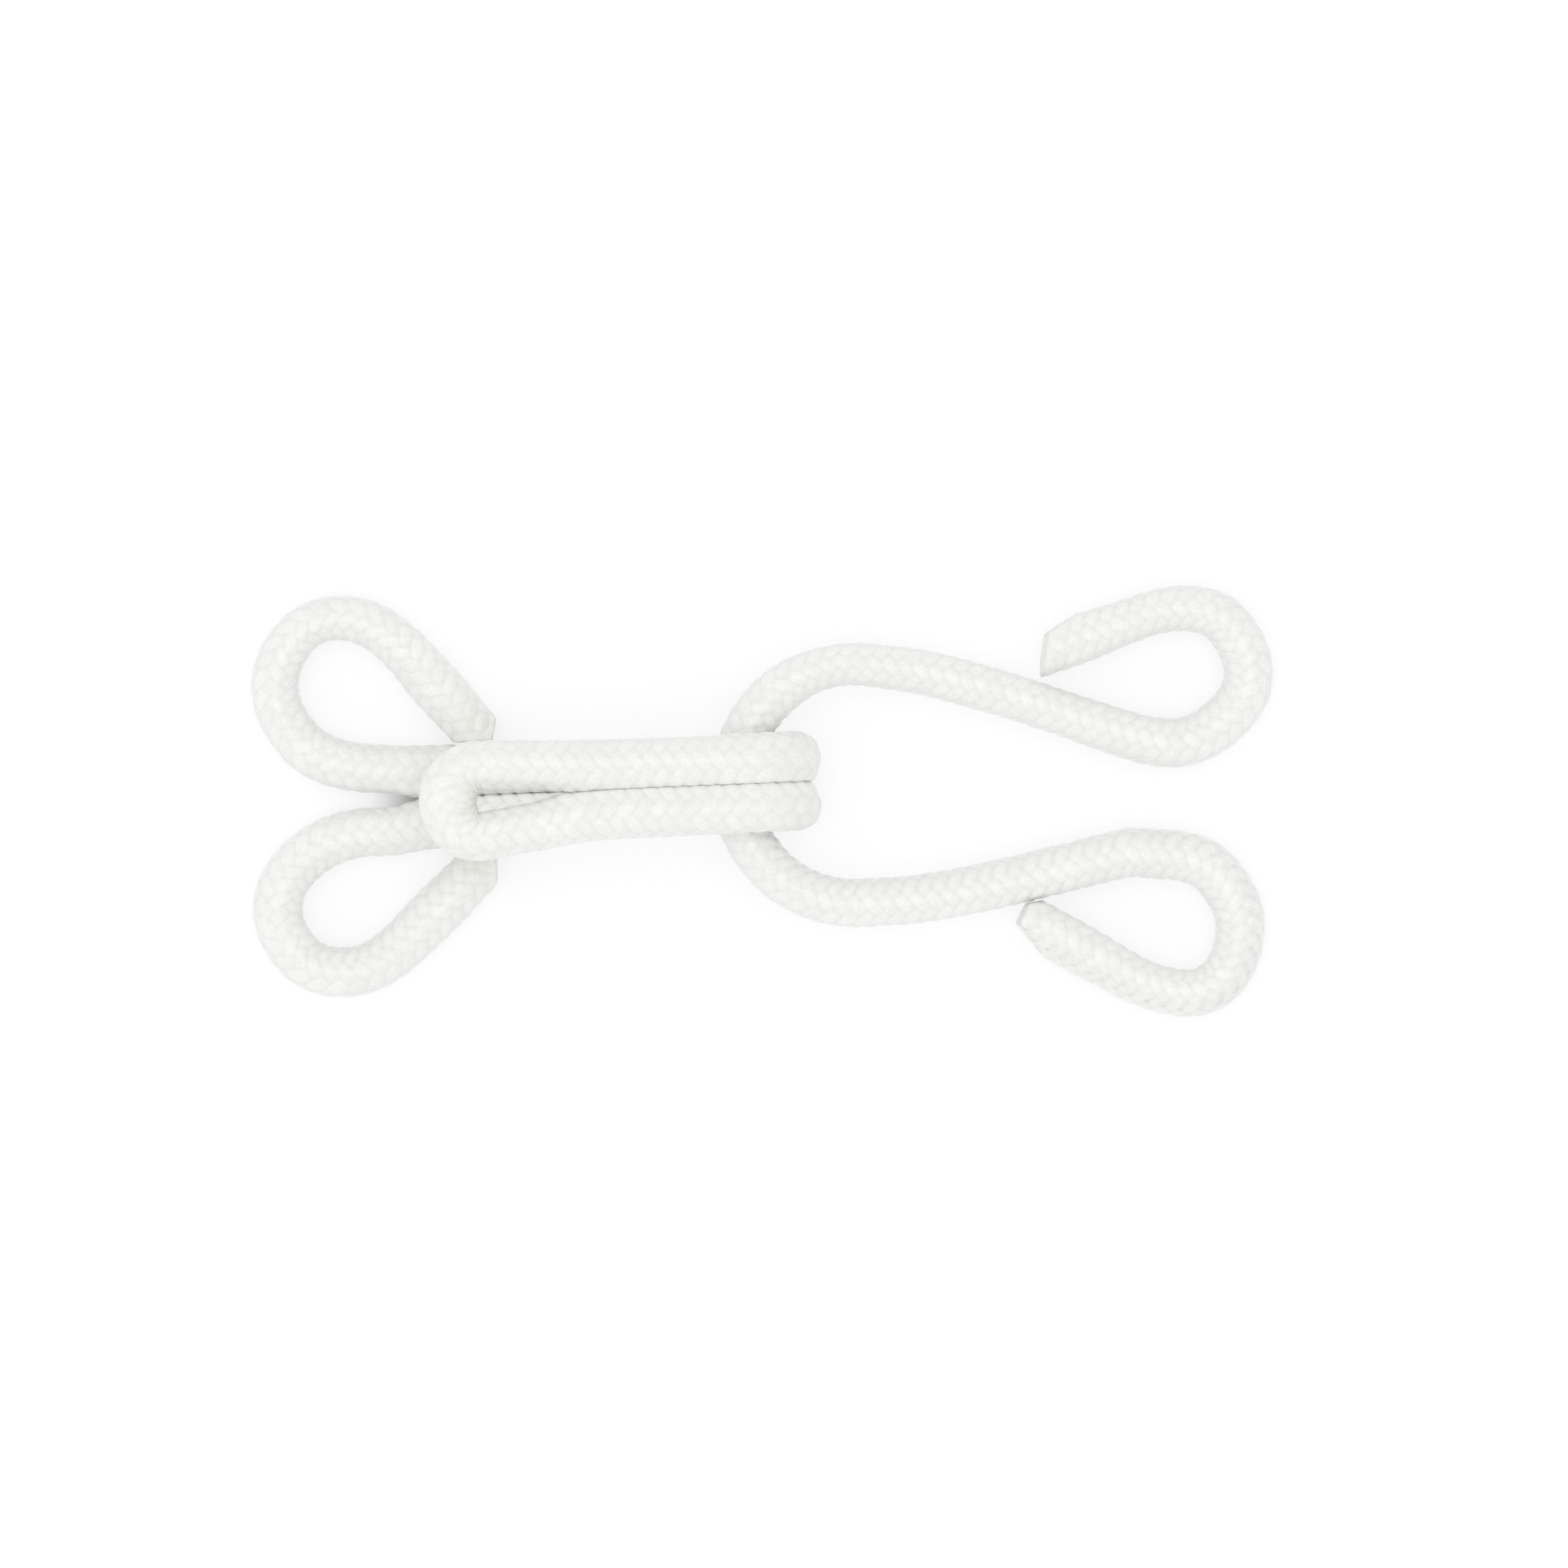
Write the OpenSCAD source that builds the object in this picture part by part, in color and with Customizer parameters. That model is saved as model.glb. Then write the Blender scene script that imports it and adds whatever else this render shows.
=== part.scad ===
// Covered hook and eye clasp, fastened and lying flat.
// Each half is one wire inside a tube of braid. The wire is bent so that its two ends
// curl into sewing loops. The hook folds back over itself and its fold holds the eye.
// Length runs along X with the hook at the left, and Z is up from the table.

/* [Wire and cover] */
// Bare wire diameter
wire_d = 1.5; // [1.2:0.1:1.8]
// Clear space between the wire and the braid around it
wire_gap = 0.05; // [0.03:0.01:0.1]
// Thickness of the braided cover
braid_wall = 0.52; // [0.44:0.02:0.66]
// Thickness of the seal that closes each cut end
seal_t = 0.4; // [0.3:0.05:0.6]

/* [Hook] */
// From the fold's centre to where the sewing loops begin
leg_len = 17; // [16:0.5:20]
// Clear space between the two legs where the sewing loops begin
leg_gap = 0.36; // [0.2:0.02:0.6]
// Clear space between the two strands at the fold
fold_gap = 0.08; // [0.04:0.02:0.2]
// From the fold's centre to the centre of the tongue's rounded end
tongue_len = 14.4; // [12:0.2:15.6]
// Clear space inside the tongue's rounded end
tip_gap = 1.2; // [0.8:0.1:1.8]
// Share of the tongue's length along which its two strands stay side by side
tongue_waist = 0.45; // [0.3:0.05:0.6]
// How far the tongue's end sits off the hook's middle line
tongue_shift = -0.3; // [-0.6:0.05:0.6]
// How much lower the tongue is at its end than at the fold
tongue_drop = 0.2; // [0:0.1:1.2]
// Length of a sewing loop of the hook
hook_loop_len = 10.8; // [10:0.1:12]
// Width of a sewing loop of the hook
hook_loop_w = 8.2; // [7.6:0.1:9.4]
// Angle the hook lies at on the table
hook_turn = 2.5; // [-2:0.5:4]

/* [Eye] */
// Diameter of the round end, at the middle of the wire
eye_d = 12.9; // [12:0.1:15]
// From the round end's centre to where the sewing loops begin
arm_len = 14.7; // [13:0.1:17]
// Clear space between the two arms where the sewing loops begin
neck_gap = 3.8; // [3.2:0.1:5]
// How far each arm bows outward between the round end and where its sewing loop begins
arm_bow = 0.4; // [0:0.1:0.6]
// Where it bows outward the most, as a share of the arm from the round end
arm_bow_at = 0.25; // [0.2:0.05:0.6]
// Length of a sewing loop of the eye
eye_loop_len = 11.2; // [10.6:0.1:12.4]
// Width of a sewing loop of the eye
eye_loop_w = 7.1; // [6.8:0.1:8.4]
// Angle the eye lies at on the table
eye_turn = -2.3; // [-4:0.1:2]
// How far the eye's middle lies to one side of the fold's
eye_shift = 0; // [-0.4:0.05:0.4]
// How far the eye lies back from the fold that holds it
slack = 0.35; // [0:0.05:1]

/* [Clearances] */
// Clear space between the eye and the hook round it
fit_gap = 0.1; // [0.06:0.02:0.3]
// Clear space between a cut end and the strand beside it
end_gap = 0.14; // [0.08:0.02:0.3]
// Clear space between a seal and the cover it closes
seam = 0.03; // [0.02:0.01:0.06]

/* [Hidden] */

// Sides of the outer faces and of the bore and wire, and the turn between two rings
SIDES = 16;
BORE_SIDES = 10;
STEP = 15;

cover_d = wire_d + 2 * (wire_gap + braid_wall);
r = cover_d / 2;
bore_r = wire_d / 2 + wire_gap;

// The fold leaves room for one covered strand of the eye between leg and tongue.
fold_r = cover_d + fit_gap;
fold_z = r + fold_r;
fold_y = r + fold_gap / 2;
leg_y = r + leg_gap / 2;
tip_r = r + tip_gap / 2;
slope = atan(tongue_drop / (tongue_len + tip_r));

eye_r = eye_d / 2;
neck_y = neck_gap / 2 + r;
// Straight tangents from the round end would meet the necks at arm_tilt. The arms bow outward
// from these, so they leave the round end flatter and reach the necks steeper.
arm_tilt = asin(eye_r / norm([arm_len, neck_y])) - atan(neck_y / arm_len);
arm_span = norm([arm_len, eye_r - neck_y]);
flatter = 1.4 * atan(arm_bow / (arm_bow_at * arm_span));
steeper = 1.4 * atan(arm_bow / ((1 - arm_bow_at) * arm_span));
// The round end curves away from the fold's strands, so its middle sits further in.
bar_y = fold_y + r / 3;
bar_in = eye_r - sqrt(eye_r * eye_r - bar_y * bar_y);

// Sewing loops. Each row is a point of the wire's middle line and the way it heads there.
// ALONG is a share of the loop's length, from where the loop begins and away from the clasp.
// ACROSS is a share of the loop's width, from there and away from the middle line.
// HEADING is in degrees from straight away, turning outward.
ALONG = 0;
ACROSS = 1;
HEADING = 2;
hook_upper = [
    [0.33, 0.03, 6],
    [0.66, 0.235, 52],
    [0.765, 0.575, 90],
    [0.645, 0.925, 135],
    [0.41, 1.025, 185],
    [0.15, 0.85, 225],
    [-0.005, 0.61, 231]
];
hook_lower = [
    [0.28, 0.03, -5],
    [0.63, 0.155, 34],
    [0.80, 0.52, 90],
    [0.69, 0.845, 134],
    [0.46, 0.945, 180],
    [0.19, 0.79, 220],
    [-0.02, 0.54, 223]
];
eye_upper = [
    [0.19, -0.049, -2],
    [0.445, 0.106, 42],
    [0.58, 0.491, 92],
    [0.465, 0.876, 135],
    [0.26, 0.981, 180],
    [0.04, 0.901, 202]
];
eye_lower = [
    [0.2, -0.009, -2],
    [0.47, 0.136, 47],
    [0.59, 0.531, 90],
    [0.51, 0.921, 130],
    [0.31, 1.041, 185],
    [0.03, 0.911, 207]
];

// Cut faces. Each row is the way the face looks and a point on it, in the same columns.
hook_upper_cut = [[194, -0.33, 0.265]];
hook_lower_cut = [[180, -0.31, 0.38]];
eye_upper_cut = [[177, -0.42, 0.551], [128, -0.36, 0.861]];
eye_lower_cut = [[204, -0.48, 0.511], [139, -0.44, 0.661]];

function unit(v) = v / norm(v);
function aim(a) = [cos(a), sin(a)];
function rev(list) = [for (i = [len(list) - 1:-1:0]) list[i]];
function flat(lists) = [for (l = lists) each l];

// A smooth bend between two rows, close to an arc of a circle, without its first point
function bend(a, b) =
    let (
        p = [a[0], a[1]], q = [b[0], b[1]],
        turn = abs(b[2] - a[2]),
        pull = norm(q - p) * (turn < 1 ? 1 / 3 : 2 / 3 * tan(turn / 4) / sin(turn / 2)),
        p2 = p + pull * aim(a[2]), q2 = q - pull * aim(b[2]),
        n = max(1, ceil(turn / STEP))
    )
    [for (i = [1:n]) let (t = i / n, s = 1 - t)
        s * s * s * p + 3 * s * s * t * p2 + 3 * s * t * t * q2 + t * t * t * q];
function run(rows) = concat([[rows[0][0], rows[0][1]]],
    flat([for (i = [1:len(rows) - 1]) bend(rows[i - 1], rows[i])]));

// How far a point can travel along way before it is within held of the first of the cut faces
function reach(p, way, cuts, held = 0) =
    min([for (c = cuts) ((c[1] - p) * c[0] - held) / (way * c[0])]);

// A loop's rows in millimetres, from the row it begins at
function loop_rows(start, rows, length, width) = concat([start],
    [for (k = rows) [start[0] + k[ALONG] * length, start[1] + k[ACROSS] * width, k[HEADING]]]);
// A loop's cut faces in millimetres, and one more that keeps its end clear of the strand beside it
function loop_cuts(start, rows, length, width, strand_tilt) = concat(
    [[-[sin(strand_tilt), cos(strand_tilt)],
        [start[0], start[1]] + (r + end_gap + seal_t) * [sin(strand_tilt), cos(strand_tilt)]]],
    [for (k = rows) [aim(k[0]),
        [start[0] + k[1] * length, start[1] + k[2] * width] - seal_t * aim(k[0])]]);
function loop_path(rows, cuts) =
    let (path = run(rows), last = path[len(path) - 1], way = aim(rows[len(rows) - 1][2]))
    concat(path, [last + way * reach(last, way, cuts)]);

hook_start = [leg_len, leg_y, 0];
eye_start = [arm_len, neck_y, -arm_tilt - steeper];
hook_upper_cuts = loop_cuts(hook_start, hook_upper_cut, hook_loop_len, hook_loop_w, 0);
hook_lower_cuts = loop_cuts(hook_start, hook_lower_cut, hook_loop_len, hook_loop_w, 0);
eye_upper_cuts = loop_cuts(eye_start, eye_upper_cut, eye_loop_len, eye_loop_w, arm_tilt + steeper);
eye_lower_cuts = loop_cuts(eye_start, eye_lower_cut, eye_loop_len, eye_loop_w, arm_tilt + steeper);

// Loop coordinates to the hook's and the eye's own axes. side is 1 above the middle line.
function to_hook(p, side) = [-p[0], side * p[1], r];
function to_eye(p, side) = [p[0], side * p[1], 0];
function hook_faces(cuts, side) =
    [for (c = cuts) [[-c[0][0], side * c[0][1], 0], to_hook(c[1], side)]];
function eye_faces(cuts, side) =
    [for (c = cuts) [[c[0][0], side * c[0][1], 0], to_eye(c[1], side)]];

function hook_loop(rows, cuts, side) = [
    for (p = loop_path(loop_rows(hook_start, rows, hook_loop_len, hook_loop_w), cuts))
        to_hook(p, side)];
function eye_loop(rows, cuts, side) = [
    for (p = loop_path(loop_rows(eye_start, rows, eye_loop_len, eye_loop_w), cuts))
        to_eye(p, side)];
function fold(side) =
    let (n = ceil((180 + slope) / STEP))
    [for (i = [0:n]) let (a = -90 + (180 + slope) * i / n)
        [fold_r * cos(a), side * fold_y, fold_z + fold_r * sin(a)]];
function tongue() =
    let (
        x0 = -fold_r * sin(slope),
        z0 = fold_z + fold_r * cos(slope),
        top = tongue_shift + tip_r,
        low = tongue_shift - tip_r,
        waist = -tongue_waist * tongue_len,
        part_top = atan2(fold_y - top, tongue_len + waist),
        part_low = atan2(-fold_y - low, tongue_len + waist),
        rows = [[x0, fold_y, 180], [waist, fold_y, 180], [-tongue_len, top, 180 + part_top],
            [-tongue_len - tip_r, tongue_shift, 270],
            [-tongue_len, low, 360 + part_low], [waist, -fold_y, 360], [x0, -fold_y, 360]],
        path = run(rows)
    )
    [for (i = [1:len(path) - 2]) [path[i][0], path[i][1], z0 + (path[i][0] - x0) * tan(slope)]];
function round_end() =
    let (from = 90 - arm_tilt + flatter, turn = 360 - 2 * from, n = ceil(turn / STEP))
    [for (i = [0:n]) let (a = from + turn * i / n) [eye_r * cos(a), eye_r * sin(a), 0]];
// Where an arm bows outward the most. side is 1 above the middle line.
function arm_bend(side) =
    let (
        root = eye_r * aim(90 - arm_tilt + flatter),
        p = root + arm_bow_at * ([arm_len, neck_y] - root) + arm_bow * aim(90 - arm_tilt)
    )
    [p[0], side * p[1], 0];

hook_line = concat(rev(hook_loop(hook_upper, hook_upper_cuts, 1)), fold(1), tongue(),
    rev(fold(-1)), hook_loop(hook_lower, hook_lower_cuts, -1));
eye_line = concat(rev(eye_loop(eye_upper, eye_upper_cuts, 1)), [arm_bend(1)], round_end(),
    [arm_bend(-1)], eye_loop(eye_lower, eye_lower_cuts, -1));
hook_ends = [hook_faces(hook_upper_cuts, 1), hook_faces(hook_lower_cuts, -1)];
eye_ends = [eye_faces(eye_upper_cuts, 1), eye_faces(eye_lower_cuts, -1)];

// The eye leans from the fold down to the table, where its far loops rest.
eye_far = max([for (p = eye_line) p[0]]);
lean = asin((fold_z - r) / (eye_r + eye_far));

// Rings of corners round a line of points. The first and last rings slide along the line
// until they are within held of the cut faces.
function rings(line, radius, sides, ends, held) =
    let (
        n = len(line),
        ways = [for (i = [0:n - 1]) unit(line[min(i + 1, n - 1)] - line[max(i - 1, 0)])],
        ups = [for (i = 0, u = [0, 0, 1]; i < n;
            u = unit(u - (u * ways[min(i + 1, n - 1)]) * ways[min(i + 1, n - 1)]), i = i + 1) u]
    )
    [for (i = [0:n - 1]) [for (j = [0:sides - 1])
        let (
            a = 360 * j / sides,
            p = line[i] + radius * (cos(a) * ups[i] + sin(a) * cross(ways[i], ups[i])),
            e = i == 0 ? 0 : 1,
            way = e == 0 ? -ways[0] : ways[n - 1]
        )
        i == 0 || i == n - 1 ? p + way * reach(p, way, ends[e], held) : p]];

// Wall faces between rings, counted from point number k0
function wall(n, sides, k0, out) = flat([for (i = [0:n - 2]) for (j = [0:sides - 1])
    let (
        a = k0 + i * sides + j, b = k0 + i * sides + (j + 1) % sides,
        c = a + sides, d = b + sides
    )
    out ? [[b, a, c], [b, c, d]] : [[a, b, d], [a, d, c]]]);
// Faces over a flat end, as a fan round point number k, starting at point number k0
function fan(k, k0, sides, first) = [for (j = [0:sides - 1])
    let (a = k0 + j, b = k0 + (j + 1) % sides) first ? [k, a, b] : [k, b, a]];
// Faces of the ring-shaped end between an outer and an inner ring with different corner counts
function collar(k_out, n_out, k_in, n_in, first) =
    let (m = n_out * n_in)
    [for (t = [0:m - 1])
        let (
            a = floor(t / n_in), b = floor(t / n_out),
            a2 = floor((t + 1) / n_in), b2 = floor((t + 1) / n_out),
            A = k_out + a % n_out, A2 = k_out + a2 % n_out,
            B = k_in + b % n_in, B2 = k_in + b2 % n_in
        )
        each concat(
            a2 > a ? [first ? [A, A2, B] : [A2, A, B]] : [],
            b2 > b ? [first ? [A2, B2, B] : [A2, B, B2]] : [])];

module tube(line, ends, where) {
    n = len(line);
    outer = rings(line, r, SIDES, ends, seam);
    inner = rings(line, bore_r, BORE_SIDES, ends, seam);
    k = n * SIDES;
    points = where(concat(flat(outer), flat(inner)));
    polyhedron(points, concat(
        wall(n, SIDES, 0, true),
        wall(n, BORE_SIDES, k, false),
        collar(0, SIDES, k, BORE_SIDES, true),
        collar((n - 1) * SIDES, SIDES, k + (n - 1) * BORE_SIDES, BORE_SIDES, false)));
}

// Where the wire's middle line comes within held of the cut faces at one end
function end_point(line, ends, e, held) =
    let (
        n = len(line), p = e == 0 ? line[0] : line[n - 1],
        way = unit(e == 0 ? line[0] - line[1] : line[n - 1] - line[n - 2])
    )
    p + way * reach(p, way, ends[e], held);

module core(line, ends, where) {
    n = len(line);
    body = rings(line, wire_d / 2, BORE_SIDES, ends, 2 * seam);
    tips = [for (e = [0, 1]) end_point(line, ends, e, 2 * seam)];
    k = n * BORE_SIDES;
    polyhedron(where(concat(flat(body), tips)), concat(
        wall(n, BORE_SIDES, 0, true),
        fan(k, 0, BORE_SIDES, true),
        fan(k + 1, (n - 1) * BORE_SIDES, BORE_SIDES, false)));
}

// The seal over one cut end: e is 0 at the line's first point and 1 at its last
module seal(line, ends, e, where) {
    i = e * (len(line) - 1);
    near = rings(line, r, SIDES, ends, 0)[i];
    far = rings(line, r, SIDES, ends, -seal_t)[i];
    over_bore = rings(line, bore_r, BORE_SIDES, ends, 0)[i];
    tips = [end_point(line, ends, e, 0), end_point(line, ends, e, -seal_t)];
    k = 2 * SIDES;
    near_k = e == 0 ? SIDES : 0;
    polyhedron(where(concat(e == 0 ? far : near, e == 0 ? near : far, over_bore, tips)), concat(
        wall(2, SIDES, 0, true),
        collar(near_k, SIDES, k, BORE_SIDES, e == 1),
        fan(k + BORE_SIDES, k, BORE_SIDES, e == 1),
        fan(k + BORE_SIDES + 1, SIDES - near_k, SIDES, e == 0)));
}

// From each half's own axes to the table
function turned(p, a) = [p[0] * cos(a) - p[1] * sin(a), p[0] * sin(a) + p[1] * cos(a), p[2]];
function place_hook(p) = turned(p, hook_turn);
function place_eye(p) = turned([(p[0] + eye_r) * cos(lean) + p[2] * sin(lean) - eye_r, p[1],
    fold_z + p[2] * cos(lean) - (p[0] + eye_r) * sin(lean)], eye_turn) + [eye_r - bar_in - slack, eye_shift, 0];
spread = concat([for (p = flat(rings(hook_line, r, SIDES, hook_ends, -seal_t))) place_hook(p)],
    [for (p = flat(rings(eye_line, r, SIDES, eye_ends, -seal_t))) place_eye(p)]);
middle = [(min([for (p = spread) p[0]]) + max([for (p = spread) p[0]])) / 2,
    (min([for (p = spread) p[1]]) + max([for (p = spread) p[1]])) / 2, min([for (p = spread) p[2]])];
on_hook = function (points) [for (p = points) place_hook(p) - middle];
on_eye = function (points) [for (p = points) place_eye(p) - middle];

module hook_cover() { color([0.94, 0.94, 0.93]) tube(hook_line, hook_ends, on_hook); }
module eye_cover() { color([0.94, 0.94, 0.93]) tube(eye_line, eye_ends, on_eye); }
module hook_wire() { color([0.79, 0.66, 0.38]) core(hook_line, hook_ends, on_hook); }
module eye_wire() { color([0.79, 0.66, 0.38]) core(eye_line, eye_ends, on_eye); }
module hook_upper_seal() { color([0.86, 0.84, 0.78]) seal(hook_line, hook_ends, 0, on_hook); }
module hook_lower_seal() { color([0.86, 0.84, 0.78]) seal(hook_line, hook_ends, 1, on_hook); }
module eye_upper_seal() { color([0.86, 0.84, 0.78]) seal(eye_line, eye_ends, 0, on_eye); }
module eye_lower_seal() { color([0.86, 0.84, 0.78]) seal(eye_line, eye_ends, 1, on_eye); }

hook_cover();
eye_cover();
hook_wire();
eye_wire();
hook_upper_seal();
hook_lower_seal();
eye_upper_seal();
eye_lower_seal();
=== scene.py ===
import math

import bpy
import numpy as np
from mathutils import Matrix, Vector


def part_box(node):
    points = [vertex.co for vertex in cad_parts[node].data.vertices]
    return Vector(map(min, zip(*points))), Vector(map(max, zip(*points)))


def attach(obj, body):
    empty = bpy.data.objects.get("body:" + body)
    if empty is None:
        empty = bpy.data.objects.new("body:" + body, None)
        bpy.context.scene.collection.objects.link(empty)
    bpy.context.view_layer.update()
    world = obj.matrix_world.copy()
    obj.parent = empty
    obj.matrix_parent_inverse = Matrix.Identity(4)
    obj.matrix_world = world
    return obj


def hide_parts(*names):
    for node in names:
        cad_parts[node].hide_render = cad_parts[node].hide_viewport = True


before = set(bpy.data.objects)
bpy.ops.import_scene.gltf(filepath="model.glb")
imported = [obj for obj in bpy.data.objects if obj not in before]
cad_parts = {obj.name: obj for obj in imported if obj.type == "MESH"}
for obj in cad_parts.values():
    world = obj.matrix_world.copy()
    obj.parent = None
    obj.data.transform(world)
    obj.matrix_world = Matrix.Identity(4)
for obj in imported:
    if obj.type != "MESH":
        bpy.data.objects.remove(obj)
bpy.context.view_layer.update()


# The hook's wire. One length of drawn brass wire is bent round pegs into two sewing loops,
# two legs side by side and a tongue that folds back over them. The braid hides all of it.
# Sizes are in millimetres and angles in degrees until a mesh is made.
MM = 0.001
cover_r = 1.32
leg_len = 17.0
leg_gap = 0.36
fold_gap = 0.08
fit_gap = 0.1
tongue_len = 14.4
tongue_waist = 0.45
tongue_shift = -0.3
tongue_drop = 0.2
tip_gap = 1.2
hook_loop_len = 10.8
hook_loop_w = 8.2
hook_turn = 2.5
bend_steps = 24
# The dressed cut ends stop this far from the strand beside them, a little nearer than the
# solids do, as the photographed ones lie.
end_gap = 0.07

# Each row of a loop is a share of its length away from the clasp, a share of its width away
# from the middle line, and the way that the wire heads there, turning outward.
hook_upper = [
    (0.33, 0.03, 6),
    (0.66, 0.235, 52),
    (0.765, 0.575, 90),
    (0.645, 0.925, 135),
    (0.41, 1.025, 185),
    (0.15, 0.85, 225),
    (-0.005, 0.61, 231),
]
hook_lower = [
    (0.28, 0.03, -5),
    (0.63, 0.155, 34),
    (0.80, 0.52, 90),
    (0.69, 0.845, 134),
    (0.46, 0.945, 180),
    (0.19, 0.79, 220),
    (-0.02, 0.54, 223),
]
# Each row of a cut end is the way that a face looks and a point on it, in the same shares.
hook_upper_cut = [(194, -0.33, 0.265)]
hook_lower_cut = [(180, -0.31, 0.38)]


def aim(heading):
    """The flat direction of a heading."""
    return np.array([math.cos(math.radians(heading)), math.sin(math.radians(heading))])


def unit(v):
    """The same directions, at length one."""
    return v / np.linalg.norm(v, axis=-1, keepdims=True)


def bend(start, end):
    """Points of a smooth bend from one row of x, y and heading to the next, without its first."""
    p, q = np.array(start[:2]), np.array(end[:2])
    turn = math.radians(abs(end[2] - start[2]))
    share = 1 / 3 if turn < 0.02 else 2 / 3 * math.tan(turn / 4) / math.sin(turn / 2)
    pull = share * np.linalg.norm(q - p)
    t = np.linspace(0, 1, bend_steps + 1)[1:, None]
    return ((1 - t) ** 3 * p + 3 * (1 - t) ** 2 * t * (p + pull * aim(start[2]))
            + 3 * (1 - t) * t * t * (q - pull * aim(end[2])) + t ** 3 * q)


def run(rows):
    """Points of the smooth bends through all the rows."""
    parts = [np.array([rows[0][:2]])]
    for start, end in zip(rows, rows[1:]):
        parts.append(bend(start, end))
    return np.concatenate(parts)


def sewing_loop(start, rows, cuts, length, width, strand_tilt):
    """A loop's middle line as far as its outer cut face, and the cut faces as pairs of arrays."""
    def at(along, across):
        return np.array([start[0] + along * length, start[1] + across * width])

    line = run([start] + [(*at(along, across), heading) for along, across, heading in rows])
    strand = aim(90 - strand_tilt)
    faces = [(-strand, np.array(start[:2]) + (cover_r + end_gap) * strand)]
    faces += [(aim(looks), at(along, across)) for looks, along, across in cuts]
    way = aim(rows[-1][2])
    left = min(np.dot(point - line[-1], looks) / np.dot(way, looks) for looks, point in faces)
    return np.concatenate([line, [line[-1] + way * left]]), faces


def spun(points, degrees):
    """Points turned about the vertical axis."""
    c, s = aim(degrees)
    return points @ np.array([[c, s, 0], [-s, c, 0], [0, 0, 1]])


def lifted(flat, mirror, height):
    """Loop coordinates as points in space. mirror is the sign of each of the two axes."""
    flat = np.atleast_2d(flat)
    return np.column_stack([flat * mirror, np.full(len(flat), height)])


def moved_to(node, line, ends, turned):
    """The line and its end faces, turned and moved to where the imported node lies."""
    low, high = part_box(node)
    placed = turned(line)
    shift = np.array((low + high) / 2) / MM - (placed.min(0) + placed.max(0)) / 2
    origin = turned(np.zeros((1, 3)))
    ends = [[((turned(looks) - origin)[0], (turned(point) + shift)[0]) for looks, point in faces]
            for faces in ends]
    return placed + shift, ends


def hook_wire_line():
    """The middle line of the hook's wire from one cut end to the other, its end faces, and the
    height of the middle of the fold."""
    fold_r = 2 * cover_r + fit_gap
    fold_z = cover_r + fold_r
    fold_y = cover_r + fold_gap / 2
    tip_r = cover_r + tip_gap / 2
    slope = math.atan(tongue_drop / (tongue_len + tip_r))

    start = (leg_len, cover_r + leg_gap / 2, 0)
    loops, ends = [], []
    for rows, cuts, side in ((hook_upper, hook_upper_cut, 1), (hook_lower, hook_lower_cut, -1)):
        line, faces = sewing_loop(start, rows, cuts, hook_loop_len, hook_loop_w, 0)
        mirror = np.array([-1, side])
        loops.append(lifted(line, mirror, cover_r))
        ends.append([(lifted(looks, mirror, 0), lifted(point, mirror, cover_r))
                     for looks, point in faces])

    a = np.linspace(-math.pi / 2, math.pi / 2 + slope, 4 * bend_steps)
    fold = np.column_stack([fold_r * np.cos(a), np.full(len(a), fold_y),
                            fold_z + fold_r * np.sin(a)])
    x0, z0 = fold[-1, 0], fold[-1, 2]
    waist = -tongue_waist * tongue_len
    top, low = tongue_shift + tip_r, tongue_shift - tip_r
    part_top = math.degrees(math.atan2(fold_y - top, tongue_len + waist))
    part_low = math.degrees(math.atan2(-fold_y - low, tongue_len + waist))
    flat = run([
        (x0, fold_y, 180),
        (waist, fold_y, 180),
        (-tongue_len, top, 180 + part_top),
        (-tongue_len - tip_r, tongue_shift, 270),
        (-tongue_len, low, 360 + part_low),
        (waist, -fold_y, 360),
        (x0, -fold_y, 360),
    ])[1:-1]
    tongue = np.column_stack([flat, z0 + (flat[:, 0] - x0) * math.tan(slope)])
    line = np.concatenate([loops[0][::-1], fold, tongue, fold[::-1] * [1, -1, 1], loops[1]])
    return moved_to("hook_cover", line, ends, lambda p: spun(p, hook_turn)), fold_z


(hook_line, hook_ends), fold_z = hook_wire_line()


class Out:
    """An output of a node in a material. Sums, products and the like of these add Math nodes."""

    def __init__(self, tree, socket=None):
        self.tree = tree
        self.socket = socket

    def add(self, kind, settings=None, inputs=None, output=0):
        """Adds a node, sets its settings and then its sockets, and returns one output."""
        node = self.tree.nodes.new("ShaderNode" + kind)
        for name, value in (settings or {}).items():
            setattr(node, name, value)
        for name, value in (inputs or {}).items():
            if isinstance(value, Out):
                self.tree.links.new(value.socket, node.inputs[name])
            else:
                node.inputs[name].default_value = value
        return Out(self.tree, node.outputs[output])

    def math(self, operation, first, second):
        return self.add("Math", {"operation": operation}, {0: first, 1: second})

    def __add__(self, other):
        return self.math("ADD", self, other)

    def __sub__(self, other):
        return self.math("SUBTRACT", self, other)

    def __rsub__(self, other):
        return self.math("SUBTRACT", other, self)

    def __mul__(self, other):
        return self.math("MULTIPLY", self, other)

    __radd__ = __add__
    __rmul__ = __mul__

    def between(self, low, high):
        """0 at low, 1 at high, and smooth between them."""
        return self.add("MapRange", {"interpolation_type": "SMOOTHSTEP"},
                        {"Value": self, "From Min": low, "From Max": high})

    def mix(self, first, second):
        """The first colour where this is 0, the second where it is 1, and a blend between."""
        return self.add("Mix", {"data_type": "RGBA"}, {0: self, 6: first, 7: second}, output=2)


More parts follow.
